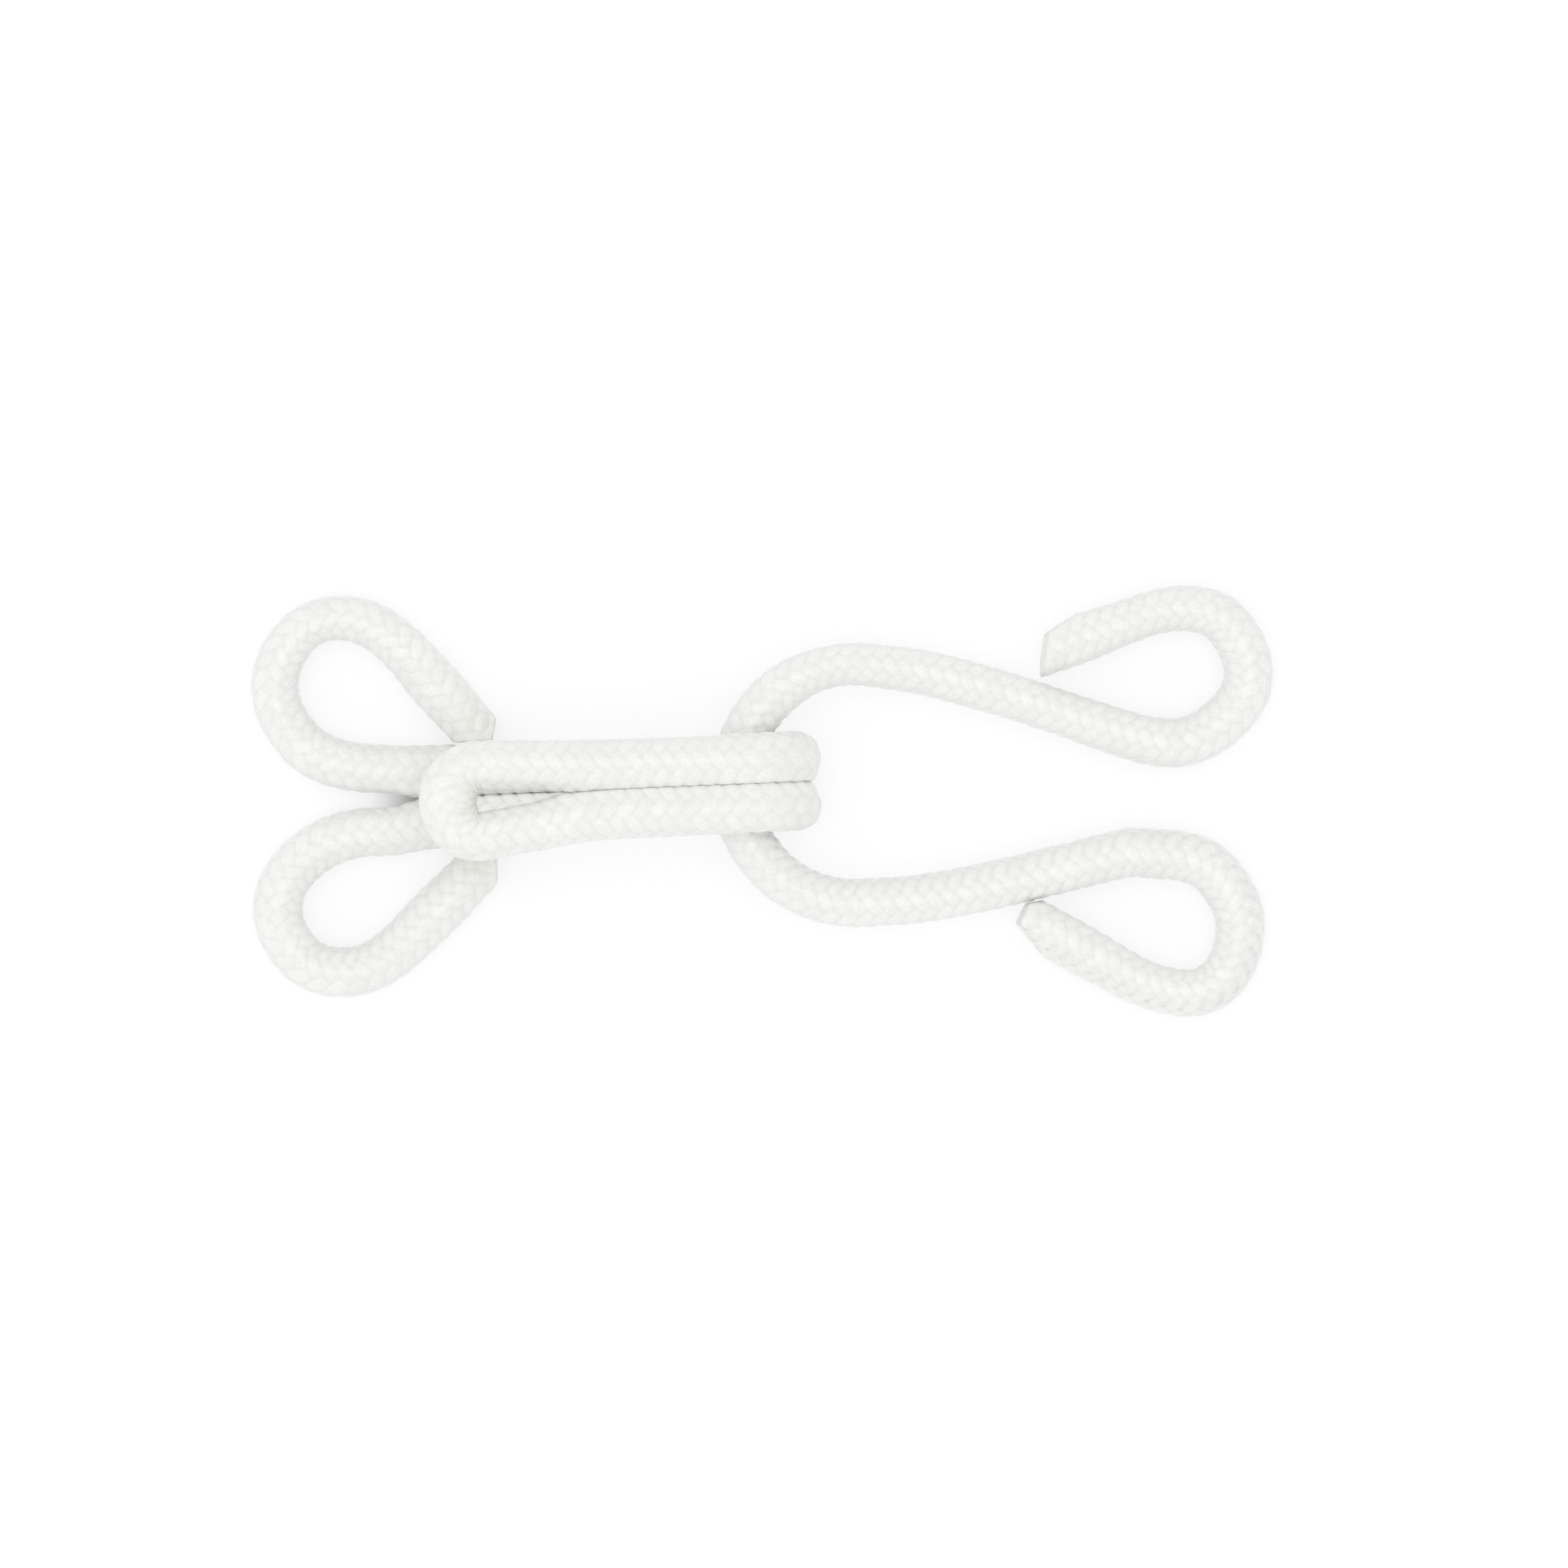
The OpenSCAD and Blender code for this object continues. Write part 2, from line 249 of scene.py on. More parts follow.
def finish(name, **fixed):
    """A new material: its first node output for adding more, and a function that joins sockets."""
    material = bpy.data.materials.new(name)
    material.use_nodes = True
    tree = material.node_tree
    shader = tree.nodes["Principled BSDF"]
    for socket, value in fixed.items():
        shader.inputs[socket.replace("_", " ")].default_value = value

    def join(**varied):
        for socket, out in varied.items():
            tree.links.new(out.socket, shader.inputs[socket.replace("_", " ")])
        return material

    return Out(tree), join


bright_brass = (0.80, 0.62, 0.30, 1)
tarnished_brass = (0.52, 0.38, 0.18, 1)


def brass():
    """Drawn brass: lengthwise die marks, and a duller tarnish in patches."""
    tree, join = finish("drawn_brass", Metallic=1.0)
    place = tree.add("TexCoord", output=3)
    marks = tree.add("TexNoise", None, {"Vector": place, "Scale": 9000.0, "Detail": 2.0})
    patches = tree.add("TexNoise", None, {"Vector": place, "Scale": 500.0, "Detail": 4.0})
    tarnish = patches.between(0.45, 0.7)
    colour = tarnish.mix(bright_brass, tarnished_brass)
    bump = tree.add("Bump", None, {"Strength": 0.3, "Distance": 0.00001, "Height": marks})
    return join(Base_Color=colour, Roughness=0.25 + tarnish * 0.2, Normal=bump)


brass_finish = brass()
for node in ("hook_wire", "eye_wire"):
    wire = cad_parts[node]
    wire.data.materials.clear()
    wire.data.materials.append(brass_finish)


# The eye's wire. A second length of the same wire is bent into a round end and two arms that
# close in to a neck, and its ends curl outward into sewing loops. It leans down from the fold.
eye_r = 6.45
arm_len = 14.7
neck_gap = 3.8
arm_bow = 0.4
arm_bow_at = 0.25
bow_steepness = 1.4
eye_loop_len = 11.2
eye_loop_w = 7.1
eye_turn = -2.3
eye_upper = [
    (0.19, -0.049, -2),
    (0.445, 0.106, 42),
    (0.58, 0.491, 92),
    (0.465, 0.876, 135),
    (0.26, 0.981, 180),
    (0.04, 0.901, 202),
]
eye_lower = [
    (0.2, -0.009, -2),
    (0.47, 0.136, 47),
    (0.59, 0.531, 90),
    (0.51, 0.921, 130),
    (0.31, 1.041, 185),
    (0.03, 0.911, 207),
]
# The corner cut off the upper end is larger here than on the solid, as the photographed one is.
eye_upper_cut = [(177, -0.42, 0.551), (128, -0.343, 0.828)]
eye_lower_cut = [(204, -0.48, 0.511), (139, -0.44, 0.661)]


def eye_wire_line():
    """The middle line of the eye's wire from one cut end to the other, and its end faces."""
    neck_y = neck_gap / 2 + cover_r
    arm_tilt = (math.degrees(math.asin(eye_r / math.hypot(arm_len, neck_y)))
                - math.degrees(math.atan(neck_y / arm_len)))
    arm_span = math.hypot(arm_len, eye_r - neck_y)
    flatter = bow_steepness * math.degrees(math.atan(arm_bow / (arm_bow_at * arm_span)))
    steeper = bow_steepness * math.degrees(math.atan(arm_bow / ((1 - arm_bow_at) * arm_span)))
    start = (arm_len, neck_y, -arm_tilt - steeper)
    flat = -arm_tilt + flatter
    arm_root = eye_r * aim(90 + flat)
    arm_bend = arm_root + arm_bow_at * (start[:2] - arm_root) + arm_bow * aim(90 - arm_tilt)
    arm_way = -arm_tilt + (flatter - steeper) / (2 * bow_steepness)
    arm = run([(*arm_root, flat), (*arm_bend, arm_way), start])[1:-1]
    loops, ends = [], []
    for rows, cuts, side in ((eye_upper, eye_upper_cut, 1), (eye_lower, eye_lower_cut, -1)):
        line, faces = sewing_loop(start, rows, cuts, eye_loop_len, eye_loop_w, arm_tilt + steeper)
        mirror = np.array([1, side])
        loops.append(lifted(np.concatenate([arm, line]), mirror, 0))
        ends.append([(lifted(looks, mirror, 0), lifted(point, mirror, 0))
                     for looks, point in faces])
    a = np.radians(np.linspace(90 + flat, 270 - flat, 4 * bend_steps))
    round_end = np.column_stack([eye_r * np.cos(a), eye_r * np.sin(a), np.zeros(len(a))])
    line = np.concatenate([loops[0][::-1], round_end, loops[1]])
    lean = math.asin((fold_z - cover_r) / (eye_r + line[:, 0].max()))
    tip = np.array([[math.cos(lean), 0, -math.sin(lean)], [0, 1, 0],
                    [math.sin(lean), 0, math.cos(lean)]])
    return moved_to("eye_cover", line, ends, lambda p: spun(p @ tip, eye_turn))


eye_line, eye_ends = eye_wire_line()


# The braided covers. Sixteen flat yarns of bright white rayon go round each wire, eight one
# way and eight the other, each over two and under two, so that the stitches stand in eight
# rows along the tube whose slants alternate. They are braided straight onto the wire.
yarns_each_way = 8
hook_lay = 7.1
eye_lay = 6.8
yarn_t = 0.24
rise = 0.08
meld = 0.022
table_clearance = 0.02
# Half a yarn's width as a share of the spacing of the yarns, how square its back is, and how
# much single stitches differ in width and height.
yarn_half = 0.57
yarn_squareness = 2.5
stitch_wider = 0.06
stitch_higher = 0.02
stitches_told_apart = 400
# The mesh, and the guide line that it follows, which runs on past both ends.
sides = 72
hook_rings = 1380
eye_rings = 1200
past_end = 4.0
guide_step = 0.05
# The two strands of the hook are pressed together where their middles are nearer than
# pressed_from, fully so when they are pressed_over nearer still. Each swells towards the other.
pressed_from = 3.3
pressed_over = 0.6
pressed_swell = 0.36
pressed_gap = 0.002
# Strands further apart than this, or this near the tongue's tip, are alone, and their middle
# plane is put this far off.
apart_alone = 4
tip_alone = 3
plane_far_off = 9
# Inside the tongue's tip the braid bunches up and fills the end of the opening.
bunch_depth = 0.48
bunch_reach = 3.0
bunch_curl = 0.4
# Where the braid is drawn tight or bunched up: lengths along the wire, and the cover's
# thickness there as a share of the usual one.
hook_fullness = [
    (0, 1.0), (2, 1.05), (4, 1.13), (6, 1.02), (9, 0.97), (12, 0.89), (15, 0.97), (21, 1.02),
    (42, 1.01), (47, 1.05), (52, 1.04), (57, 1.0), (63, 1.03), (72, 1.03), (79, 1.02), (84, 0.99),
    (88, 0.99), (96, 0.99), (100, 1.0), (120, 1.03), (133, 1.03), (136, 1.12), (138, 1.03),
    (140, 1.0),
]
eye_fullness = [
    (0, 1.0), (2, 1.05), (5, 0.9), (9, 0.97), (12, 1.03), (20, 1.02), (26, 0.93), (31, 0.96),
    (36, 0.91), (39, 0.86), (42, 1.0), (54, 1.0), (70, 1.01), (77, 1.05), (84, 1.01), (88, 0.96),
    (90, 1.0), (93, 1.08), (96, 1.0),
]


def blurred(values, spread, reach):
    """Values along a line, each blurred with its neighbours up to reach steps away."""
    weights = np.exp(-0.5 * (np.arange(-reach, reach + 1) / spread) ** 2)
    return np.convolve(np.pad(values, reach, "edge"), weights / weights.sum(), "valid")


def along_line(line, ends, lay, twist, fullness, tip, seed):
    """The line at even steps and run on past its ends, with its frame and what the braid does.
    tip is the length at which it turns back beside itself."""
    first, last = unit(line[0] - line[1]), unit(line[-1] - line[-2])
    line = np.concatenate([[line[0] + past_end * first], line, [line[-1] + past_end * last]])
    length = np.concatenate([[0], np.cumsum(np.linalg.norm(np.diff(line, axis=0), axis=1))])
    s = np.arange(0, length[-1], guide_step)
    points = np.column_stack([blurred(np.interp(s, length, line[:, i]), spread=3, reach=6)
                              for i in range(3)])
    ways = unit(np.gradient(points, axis=0))
    ups = np.empty_like(points)
    up = np.array([0.0, 0.0, 1.0])
    for i, way in enumerate(ways):
        up = unit(up - up.dot(way) * way)
        ups[i] = up
    s_on_wire = s - past_end
    full = blurred(np.interp(s_on_wire, *np.array(fullness).T), spread=0.8 / guide_step, reach=60)
    # Where a strand lies close beside the other one, the two are pressed flat midway between them.
    over_there = 2 * (tip + past_end) - s
    across = points - np.column_stack([np.interp(over_there, s, points[:, i]) for i in range(3)])
    beside = unit(across - (across * ways).sum(1)[:, None] * ways + 1e-9)
    apart = np.linalg.norm(across, axis=1)
    no_partner = (over_there < 0) | (over_there > s[-1])
    alone = (apart > apart_alone) | no_partner | (np.abs(s_on_wire - tip) < tip_alone)
    middle = points - np.where(alone[:, None], plane_far_off * beside, across / 2)
    pressed = np.clip((pressed_from - apart) / pressed_over, 0, 1) * ~alone
    curl = np.gradient(ways, axis=0) / guide_step
    into_opening = unit(curl[np.abs(s_on_wire - tip).argmin()] + 1e-9)
    bunched = bunch_depth * np.exp(-((s_on_wire - tip) / bunch_reach) ** 2)[:, None] * into_opening
    chance = np.random.RandomState(seed).random((3, 2, yarns_each_way, stitches_told_apart)) - 0.5
    return {"s": s_on_wire, "points": points, "ups": ups, "sides": np.cross(ways, ups),
            "middle": middle, "beside": beside, "pressed": pressed[:, None],
            "curl": curl, "bunched": bunched, "full": full[:, None],
            "length": length[-1] - 2 * past_end, "ends": ends,
            "lay": lay, "twist": twist, "chance": chance}


def read(guide, name, s):
    """A column of the guide at the lengths s."""
    return np.stack([np.interp(s, guide["s"], column) for column in guide[name].T], -1)


def outward(guide, s, theta):
    """Directions out from the wire at lengths s and angles theta, where 0 looks up."""
    return (np.cos(theta)[..., None] * unit(read(guide, "ups", s))
            + np.sin(theta)[..., None] * unit(read(guide, "sides", s)))


def cut_at(guide, theta, end, radius):
    """The lengths at which lines along the cover leave through the cut faces of one end, which
    is -1 for the first and 1 for the last."""
    steps_out = np.arange(-past_end, past_end - 0.2, 0.04)[:, None]
    s = steps_out * end + (guide["length"] if end > 0 else 0)
    s, theta = np.broadcast_arrays(s, theta)
    points = read(guide, "points", s) + radius * outward(guide, s, theta)
    faces = guide["ends"][1 if end > 0 else 0]
    depth = np.min([((point - points) * looks).sum(-1) for looks, point in faces], axis=0)
    out, column = (depth < 0).argmax(0), np.arange(depth.shape[1])
    d0, d1 = depth[out - 1, column], depth[out, column]
    return s[out - 1, column] + (s[out, column] - s[out - 1, column]) * d0 / (d0 - d1)


def stitches(guide, s, theta):
    """The braid's relief at lengths s and angles theta. Gives its height, a number for each
    stitch's own shade, and which way its yarn winds. Each yarn rises over two of the others."""
    turn = (theta - guide["twist"](s)) * yarns_each_way / (2 * math.pi)
    along = s * yarns_each_way / guide["lay"]
    heights, tones, hands = [], [], []
    for hand, first_stitch in ((1, 0.5), (-1, -1.5)):
        across = turn - hand * along - (0.0 if hand > 0 else 0.5)
        crossed = turn + hand * along - (0.5 if hand > 0 else 0.0)
        for yarn in (np.floor(across), np.floor(across) + 1):
            place = crossed + yarn + first_stitch
            number = yarn.astype(int)
            stitch = np.round(place / 4).astype(int) - 4 * (number // yarns_each_way)
            tone, lift, width = guide["chance"][:, int(hand < 0), number % yarns_each_way,
                                                stitch % stitches_told_apart]
            half = yarn_half * (1 + stitch_wider * width)
            off = np.clip(np.abs(across - yarn) / half, 0, 1)
            heights.append(rise * np.cos(math.pi / 2 * place) + stitch_higher * lift
                           + yarn_t / 2 * np.sqrt(1 - off ** yarn_squareness))
            tones.append(tone)
            hands.append(np.full(off.shape, float(hand)))
    heights = np.array(heights)
    share = np.exp((heights - heights.max(0)) / meld)
    height = heights.max(0) + meld * np.log(share.sum(0))
    share /= share.sum(0)
    return height, (share * tones).sum(0), (share * hands).sum(0)


def cover_points(guide, s, theta, proud=0.0):
    """Points on the braid, with the notes that its finish reads."""
    height, tone, hand = stitches(guide, s, theta)
    out = outward(guide, s, theta)
    radius = (cover_r - rise - yarn_t / 2 + height + proud) * read(guide, "full", s)[..., 0]
    middle, beside = read(guide, "middle", s), read(guide, "beside", s)
    facing = np.clip(-(out * beside).sum(-1), 0, 1)
    radius = radius * (1 + pressed_swell * facing ** 3 * read(guide, "pressed", s)[..., 0])
    inner = np.clip((read(guide, "curl", s) * out).sum(-1), 0, 1)
    points = read(guide, "points", s) + radius[..., None] * out
    points += np.clip(inner / bunch_curl, 0, 1)[..., None] * read(guide, "bunched", s)
    room = ((points - middle) * beside).sum(-1)
    points -= np.minimum(room - pressed_gap, 0)[..., None] * beside
    points[..., 2] = np.maximum(points[..., 2], table_clearance)
    return points, {"height": height / (rise + yarn_t / 2), "tone": tone, "hand": hand,
                    "inner": inner}


def new_piece(name, points, faces):
    """A mesh object from points in millimetres, which rides on the one body."""
    mesh = bpy.data.meshes.new(name)
    mesh.from_pydata((np.asarray(points) * MM).tolist(), [], faces)
    mesh.shade_smooth()
    piece = bpy.data.objects.new(name, mesh)
    bpy.context.scene.collection.objects.link(piece)
    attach(piece, "root")
    return piece


def note(mesh, name, values, domain="POINT"):
    """Keeps one number for each point or face corner of a mesh, for its finish to read."""
    mesh.attributes.new(name, "FLOAT", domain).data.foreach_set("value", values.astype(np.float32))


def skin(rings):
    """The faces of a tube of rings, with its first end closed."""
    a = (np.arange(rings - 1)[:, None] * sides + np.arange(sides)).ravel()
    b = (np.arange(rings - 1)[:, None] * sides + (np.arange(sides) + 1) % sides).ravel()
    return (np.column_stack([a, b, b + sides, a + sides]).tolist()
            + [list(range(sides - 1, -1, -1))])


# The angles of the mesh's lines along the cover, from underneath and once round.
seat_theta = math.pi + 2 * math.pi * np.arange(sides) / sides
# How far inside the dipped ends the braid stops.
end_trim = 0.06
# A painted glow lights up the legs' tops below the tongue's opening, where it stands in for the
# light that white braid lets through. These are the opening's middle, how far it reaches and over
# what length the painted glow fades out, and the heights between which the legs' tops lie.
opening_x = -12.7
opening_half = 3.9
opening_fade = 1.6
opening_y = (-1.05, 0.4)
across_fade = 0.55
leg_side_z = 1.65
leg_top_rise = 0.45
legs_below = 2.8


def painted_glow_at(points):
    """How strongly the painted glow shows at points on the braid, from 0 to 1."""
    x, y, z = np.moveaxis(points, -1, 0)
    on_legs = np.clip((z - leg_side_z) / leg_top_rise, 0, 1) * (z < legs_below)
    along_opening = np.clip((opening_half - np.abs(x - opening_x)) / opening_fade, 0, 1)
    across_opening = np.clip((y - opening_y[0]) / across_fade, 0, 1) * (y < opening_y[1])
    return on_legs * np.prod([t * t * (3 - 2 * t) for t in (along_opening, across_opening)], 0)


def braided(name, guide, rings, stained):
    """A cover as one tube between its two cuts, which stop just inside the hard ends."""
    start = cut_at(guide, seat_theta, -1, cover_r) + end_trim
    stop = cut_at(guide, seat_theta, 1, cover_r) - end_trim
    share = np.linspace(0, 1, rings)[:, None]
    s = start * (1 - share) + stop * share
    points, notes = cover_points(guide, s, seat_theta + np.zeros_like(s))
    last = list(range((rings - 1) * sides, rings * sides))
    piece = new_piece(name, points.reshape(-1, 3), skin(rings) + [last])
    notes["along"] = s * yarns_each_way / guide["lay"]
    notes["stain"] = stained(s, notes["inner"])
    notes["painted_glow_share"] = painted_glow_at(points)
    for word in ("height", "tone", "hand", "along", "stain", "painted_glow_share"):
        note(piece.data, word, notes[word].ravel())
    # The angle has a jump underneath, so it is kept for each corner of a face.
    row = np.arange(rings - 1)[:, None, None] + np.array([0, 0, 1, 1])
    column = np.arange(sides)[None, :, None] + np.array([0, 1, 1, 0])
    around = np.arange(sides)
    row = np.concatenate([np.broadcast_to(row, (rings - 1, sides, 4)).ravel(),
                          np.zeros(sides, int), np.full(sides, rings - 1)])
    column = np.concatenate([np.broadcast_to(column, (rings - 1, sides, 4)).ravel(),
                             around[::-1], around])
    theta = seat_theta[0] + 2 * math.pi * column / sides
    turn = (theta - guide["twist"](s[row, column % sides])) * yarns_each_way / (2 * math.pi)
    note(piece.data, "turn", turn, "CORNER")
    return piece


dull_white = (0.779, 0.779, 0.772, 1)
bright_white = (0.868, 0.862, 0.841, 1)
painted_pit_shade = (0.768, 0.765, 0.75, 1)
brown_tint = (0.71, 0.695, 0.60, 1)
black = (0.0, 0.0, 0.0, 1)
painted_glow_colour = (1.0, 1.0, 0.97, 1)


def rayon(name, glow):
    """Bright white rayon: fine filaments along each yarn, small changes from stitch to stitch, and
    painted shade in the low places between the stitches. glow is the strength of a painted glow,
    which stands in for light that comes through the braid, where the glow share is set."""
    tree, join = finish(name, Sheen_Weight=0.2, Sheen_Roughness=0.4, Emission_Strength=glow)
    tone, hand, height, stain, along, turn, painted_glow_share = [
        tree.add("Attribute", {"attribute_name": word}, output=2)
        for word in ("tone", "hand", "height", "stain", "along", "turn", "painted_glow_share")]
    place = tree.add("TexCoord", output=3)

    right = tree.add("CombineXYZ", None, {0: (turn - along) * 7.0, 1: along * 0.7})
    left = tree.add("CombineXYZ", None, {0: (turn + along) * 7.0, 1: along * 0.7, 2: 9.0})
    right = tree.add("TexNoise", None, {"Vector": right, "Scale": 1.0, "Detail": 2.0})
    left = tree.add("TexNoise", None, {"Vector": left, "Scale": 1.0, "Detail": 2.0})
    filaments = left + (right - left) * hand.between(-0.3, 0.3)

    cloud = tree.add("TexNoise", None, {"Vector": place, "Scale": 300.0, "Detail": 3.0})
    fuzz = tree.add("TexNoise", None, {"Vector": place, "Scale": 6200.0, "Detail": 2.0})
    shade = tone * 0.35 + cloud * 0.3 + filaments * 0.35 + fuzz.between(0.3, 0.7) * 0.62 - 0.19
    # Painted shade: the low places between the stitches, where shade falls, are coloured darker.
    colour = height.between(0.54, 0.86).mix(painted_pit_shade, shade.mix(dull_white, bright_white))
    patch = tree.add("TexNoise", None, {"Vector": place, "Scale": 1400.0, "Detail": 3.0})
    colour = (stain * patch.between(0.35, 0.62)).mix(colour, brown_tint)
    # Painted glow: where its share is set, the braid shines of itself, more on its higher parts.
    if glow > 0:
        join(Emission_Color=(painted_glow_share * height.between(0.0, 0.9)).mix(black, painted_glow_colour))
    bump = tree.add("Bump", None, {"Strength": 0.5, "Distance": 0.00002,
                                   "Height": filaments + fuzz * 0.7})
    return join(Base_Color=colour, Roughness=0.45 - tone * 0.2 - filaments * 0.1, Normal=bump)


# How far the braid is turned round the wire, so that its rows lie as in the photograph.
def hook_twist(s):
    return 0.49 + 0.021 * (s - 78)


def eye_twist(s):
    return 0.03 + 0.002 * s


# The tongue's tip is its point furthest left. The eye's strands never come close together, so
# its tip is put far off.
far_off = 99
tongue_x = np.where(hook_line[:, 2] > 2 * cover_r, hook_line[:, 0], far_off)
steps = np.linalg.norm(np.diff(hook_line, axis=0), axis=1)
hook_tip = steps[:tongue_x.argmin()].sum()
hook_guide = along_line(hook_line, hook_ends, hook_lay, hook_twist, hook_fullness,
                        tip=hook_tip, seed=11)
eye_guide = along_line(eye_line, eye_ends, eye_lay, eye_twist, eye_fullness,
                       tip=-far_off, seed=23)

# The brown stains: how far each reaches along the braid in millimetres, and how strong it is.
hook_end_stain = (1.9, 0.6)
tip_stain = (2.4, 0.8)
eye_end_stain = (0.9, 0.4)


def stain_from(distance, reach, strength):
    """A stain at its strongest where the distance is 0, which fades out past its reach."""
    return np.exp(-(distance / reach) ** 2) * strength


def hook_stain(s, inner):
    """A little brown at the cut ends, and inside the bend of the tongue."""
    ends = np.minimum(s, hook_guide["length"] - s)
    inside = np.clip(inner * 2, 0, 1)
    return (stain_from(ends, *hook_end_stain)
            + inside * stain_from(np.abs(s - hook_tip), *tip_stain))


def eye_stain(s, inner):
    """A fainter brown at the eye's cut ends."""
    return stain_from(np.minimum(s, eye_guide["length"] - s), *eye_end_stain)


rayon_finish = rayon("white_rayon", glow=0.0)
# A copy of the finish that shines with a painted glow, for the legs' tops below the opening.
painted_glow_finish = rayon("white_rayon_painted_glow", glow=0.21)
for name, guide, rings, stained in (("hook", hook_guide, hook_rings, hook_stain),
                                    ("eye", eye_guide, eye_rings, eye_stain)):
    cover = braided(name + "_braid", guide, rings, stained)
    cover.data.materials.append(rayon_finish)
    cover.data.materials.append(painted_glow_finish)
    # Faces that the painted glow reaches take the glowing copy of the finish.
    painted_glow_share = np.zeros(len(cover.data.vertices), np.float32)
    cover.data.attributes["painted_glow_share"].data.foreach_get("value", painted_glow_share)
    for face in cover.data.polygons:
        face.material_index = int(painted_glow_share[face.vertices[0]] > 0)
    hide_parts(name + "_cover")


# The four cut ends. Each end of braid is dipped in clear size, which sets hard and slightly
# cream over the cut yarns and the wire, and holds the last millimetre of braid together.
broad_wave = 0.22
short_wave = 0.12
# Each row is a distance back from the cut, and how far the dip stands proud of the braid.
dip = [
    (0.8, -0.06),
    (0.62, -0.01),
    (0.46, 0.01),
    (0.3, 0.012),
    (0.18, 0.01),
    (0.09, 0.0),
    (0.03, -0.03),
    (0.0, -0.08),
]
# The face is closed with rings whose sizes are shares of the cover's. They lie this deep at
# least, and up to face_rough deeper by chance, and its middle is sunk a little.
face_shares = (0.88, 0.78, 0.64, 0.48, 0.32, 0.16)
face_depth = 0.01
face_rough = 0.02
middle_depth = 0.03


def dipped_end(name, guide, end, seed):
    """The dip over one cut end: an uneven rim, round the edge and over the rough cut face."""
    chance = np.random.RandomState(seed)
    rim = cut_at(guide, seat_theta, end, cover_r)
    back, proud = np.array(dip).T[..., None]
    # The rim wavers in three broad waves and eight short ones.
    uneven = (1 + broad_wave * np.sin(3 * seat_theta + seed)
              + short_wave * np.sin(8 * seat_theta))
    points, _ = cover_points(guide, rim - end * back * uneven, seat_theta + 0 * back, proud)
    rows = [points.reshape(-1, 3)]
    for share in face_shares:
        radius = cover_r * share
        depth = face_depth + face_rough * chance.random(sides)
        s = cut_at(guide, seat_theta, end, radius) - end * depth
        rows.append(read(guide, "points", s) + radius * outward(guide, s, seat_theta))
    middle = cut_at(guide, seat_theta[:1], end, 0.0) - end * middle_depth
    rows.append(read(guide, "points", middle))
    rings = len(dip) + len(face_shares)
    last, tip = (rings - 1) * sides, rings * sides
    faces = skin(rings) + [[last + j, last + (j + 1) % sides, tip] for j in range(sides)]
    if end < 0:
        faces = [f[::-1] for f in faces]
    return new_piece(name, np.concatenate(rows), faces)


clear_size = (0.79, 0.775, 0.735, 1)
cloudy_size = (0.81, 0.81, 0.79, 1)
yarn_ends = (0.86, 0.86, 0.84, 1)


def hard_size():
    """Hardened size: half clear over the cut yarns, whose ends show as pale flecks."""
    tree, join = finish("hard_size", Coat_Roughness=0.3)
    place = tree.add("TexCoord", output=3)
    mottle = tree.add("TexNoise", None, {"Vector": place, "Scale": 1500.0, "Detail": 5.0})
    flecks = tree.add("TexVoronoi", None, {"Vector": place, "Scale": 7000.0})
    pale = mottle.between(0.32, 0.58).mix(clear_size, cloudy_size)
    colour = flecks.between(0.1, 0.5).mix(yarn_ends, pale)
    bump = tree.add("Bump", None, {"Strength": 0.5, "Distance": 0.00002,
                                   "Height": mottle + flecks * 0.5})
    return join(Base_Color=colour, Roughness=0.4 + mottle * 0.25, Coat_Weight=mottle * 0.2,
                Normal=bump)


size_finish = hard_size()
first_seed = 40
for seed, (name, guide, end) in enumerate((
        ("hook_upper", hook_guide, -1), ("hook_lower", hook_guide, 1),
        ("eye_upper", eye_guide, -1), ("eye_lower", eye_guide, 1))):
    cap = dipped_end(name + "_end", guide, end, first_seed + seed)
    cap.data.materials.append(size_finish)
    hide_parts(name + "_seal")


# The table and the light. The clasp lies on a plain sweep of white paper, as in a small studio,
# under one wide soft light overhead and a second one at its left.
floor_half = 0.6
floor_dull = (0.41, 0.41, 0.42, 1)
floor_pale = (0.43, 0.43, 0.44, 1)
pure_white = (1, 1, 1, 1)
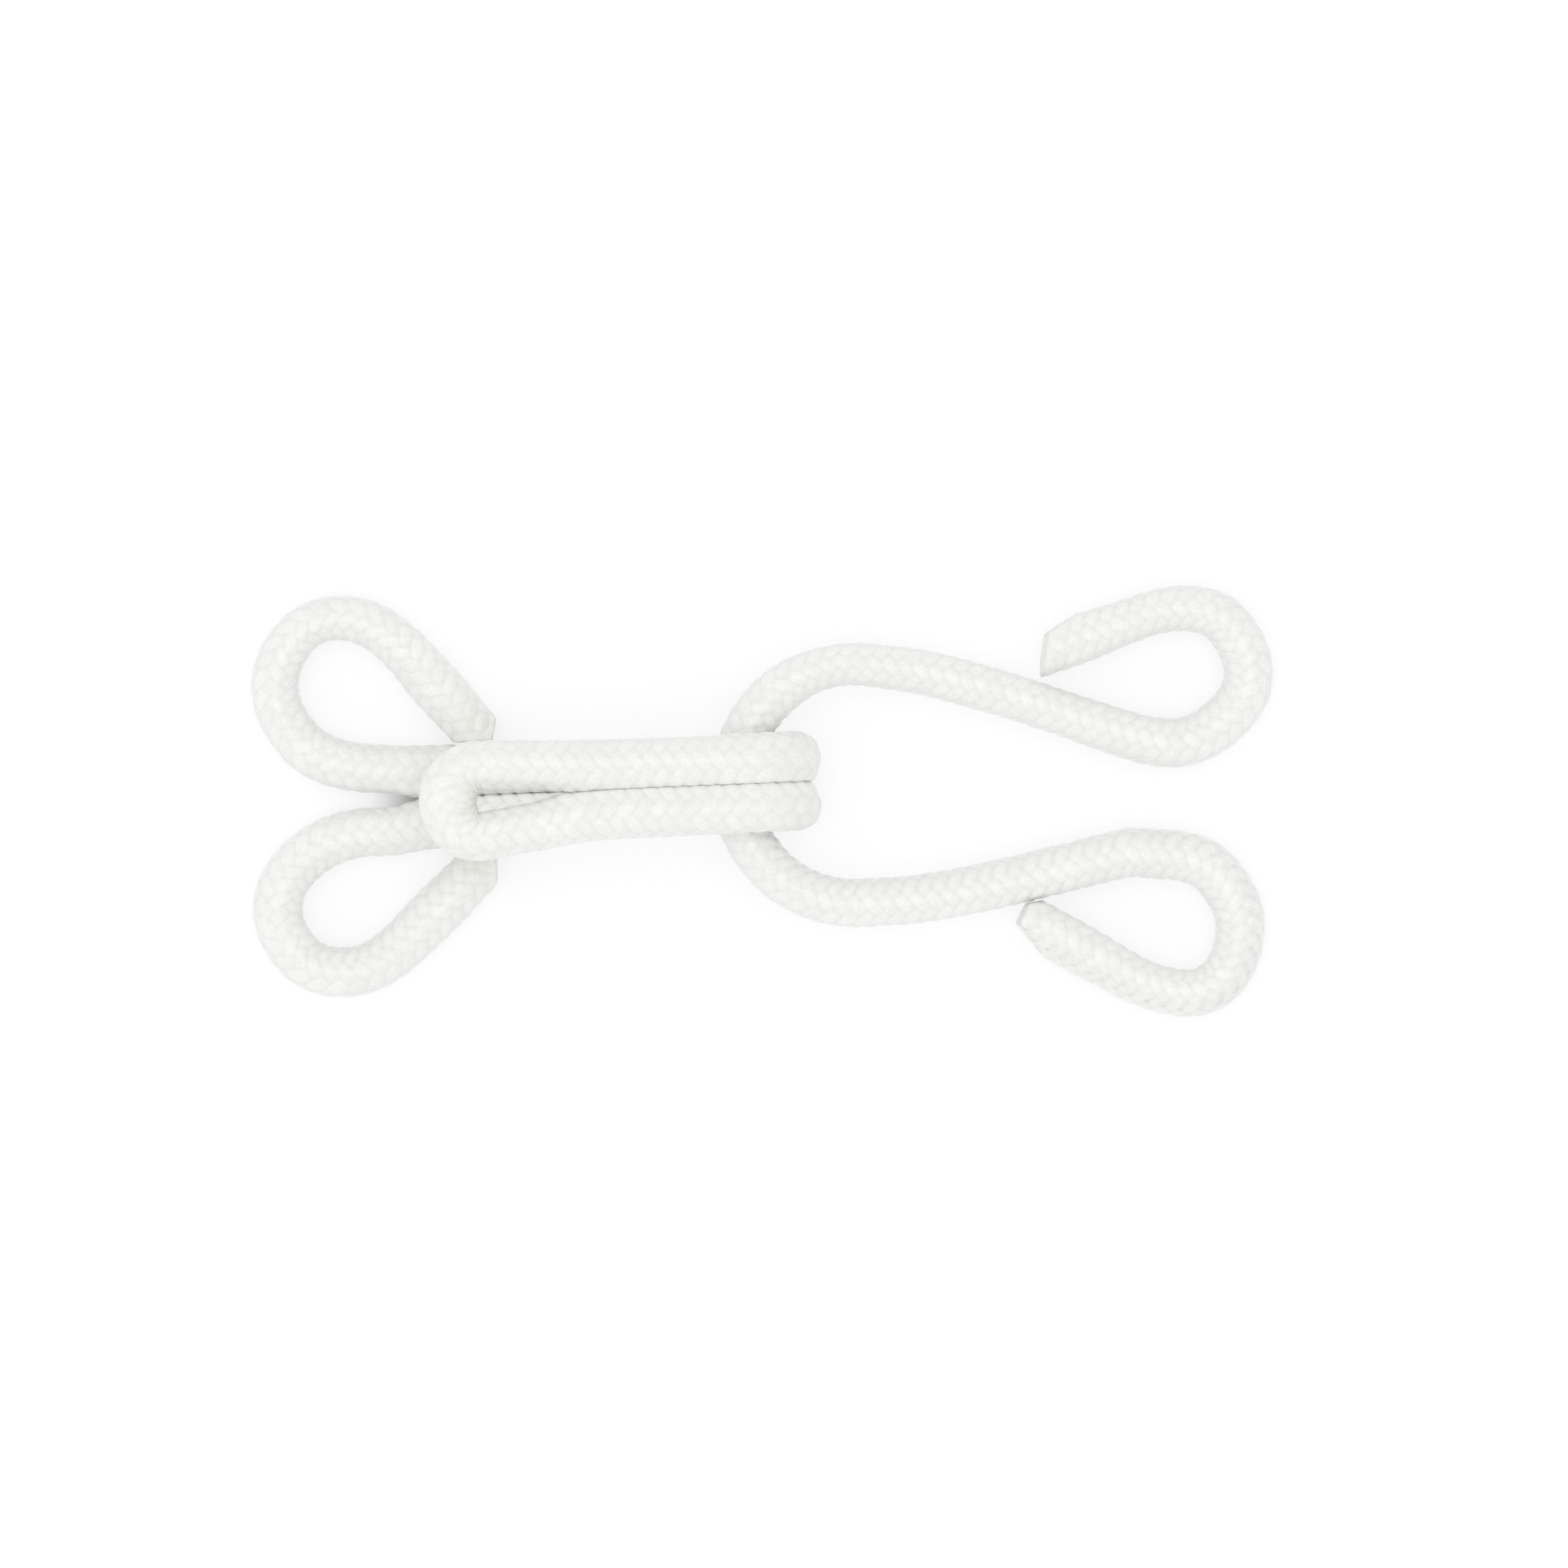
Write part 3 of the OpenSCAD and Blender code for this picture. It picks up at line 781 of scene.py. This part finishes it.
# The floor shines a little of itself, to burn out as white as in the photograph, but not in the
# narrow slot between the hook's legs. In metres: the slot's middle, and where it starts to end
# and has ended.
slot_east = -0.0125
slot_long = (0.0050, 0.0092)
slot_north = 0.0002
slot_wide = (0.0005, 0.0014)
floor = bpy.data.objects.new("floor", bpy.data.meshes.new("floor"))
corners = [(-1, -1, 0), (1, -1, 0), (1, 1, 0), (-1, 1, 0)]
floor.data.from_pydata((np.array(corners) * floor_half).tolist(), [], [(0, 1, 2, 3)])
bpy.context.scene.collection.objects.link(floor)
tree, join = finish("white_floor", Roughness=0.9, Emission_Strength=0.56)
grain = tree.add("TexNoise", None, {"Scale": 40.0})
place = tree.add("TexCoord", output=3)
east = tree.add("SeparateXYZ", None, {0: place}, output=0)
north = tree.add("SeparateXYZ", None, {0: place}, output=1)
# Painted shade: the floor's own glow is left out in the slot between the hook's legs, so it shows
# dark there.
beside = tree.math("ABSOLUTE", north - slot_north, 0.0).between(*slot_wide)
beyond = tree.math("ABSOLUTE", east - slot_east, 0.0).between(*slot_long)
shining = tree.math("MAXIMUM", beside, beyond).mix(black, pure_white)
floor.data.materials.append(join(Base_Color=grain.mix(floor_dull, floor_pale),
                                 Emission_Color=shining))

world = bpy.data.worlds.new("soft_studio")
bpy.context.scene.world = world
world.use_nodes = True
background = world.node_tree.nodes["Background"]
background.inputs["Color"].default_value = pure_white
background.inputs["Strength"].default_value = 0.93

for name, width, power, place in (("overhead", 1.0, 3.5, (0.0, 0.0, 1.4)),
                                  ("window", 1.4, 1.3, (-1.0, -0.35, 0.9))):
    light = bpy.data.objects.new(name, bpy.data.lights.new(name, "AREA"))
    light.data.size = width
    light.data.energy = power
    light.location = place
    light.rotation_euler = light.location.to_track_quat("Z", "Y").to_euler()
    bpy.context.scene.collection.objects.link(light)

# The camera stands over the clasp and looks straight down on the table. frame_w is the width of
# table that it sees, and frame_middle the point in the middle of the picture, in metres.
frame_w = 0.085
frame_middle = (0.00121, 0.00091)
distance = 0.9
sensor_w = 36.0
camera = bpy.data.objects.new("camera", bpy.data.cameras.new("camera"))
camera.data.sensor_width = sensor_w
camera.data.lens = sensor_w * distance / frame_w
camera.data.clip_start = 0.05
camera.data.clip_end = 5.0
camera.location = (*frame_middle, distance)
bpy.context.scene.collection.objects.link(camera)
bpy.context.scene.camera = camera
bpy.context.scene.view_settings.view_transform = "Standard"
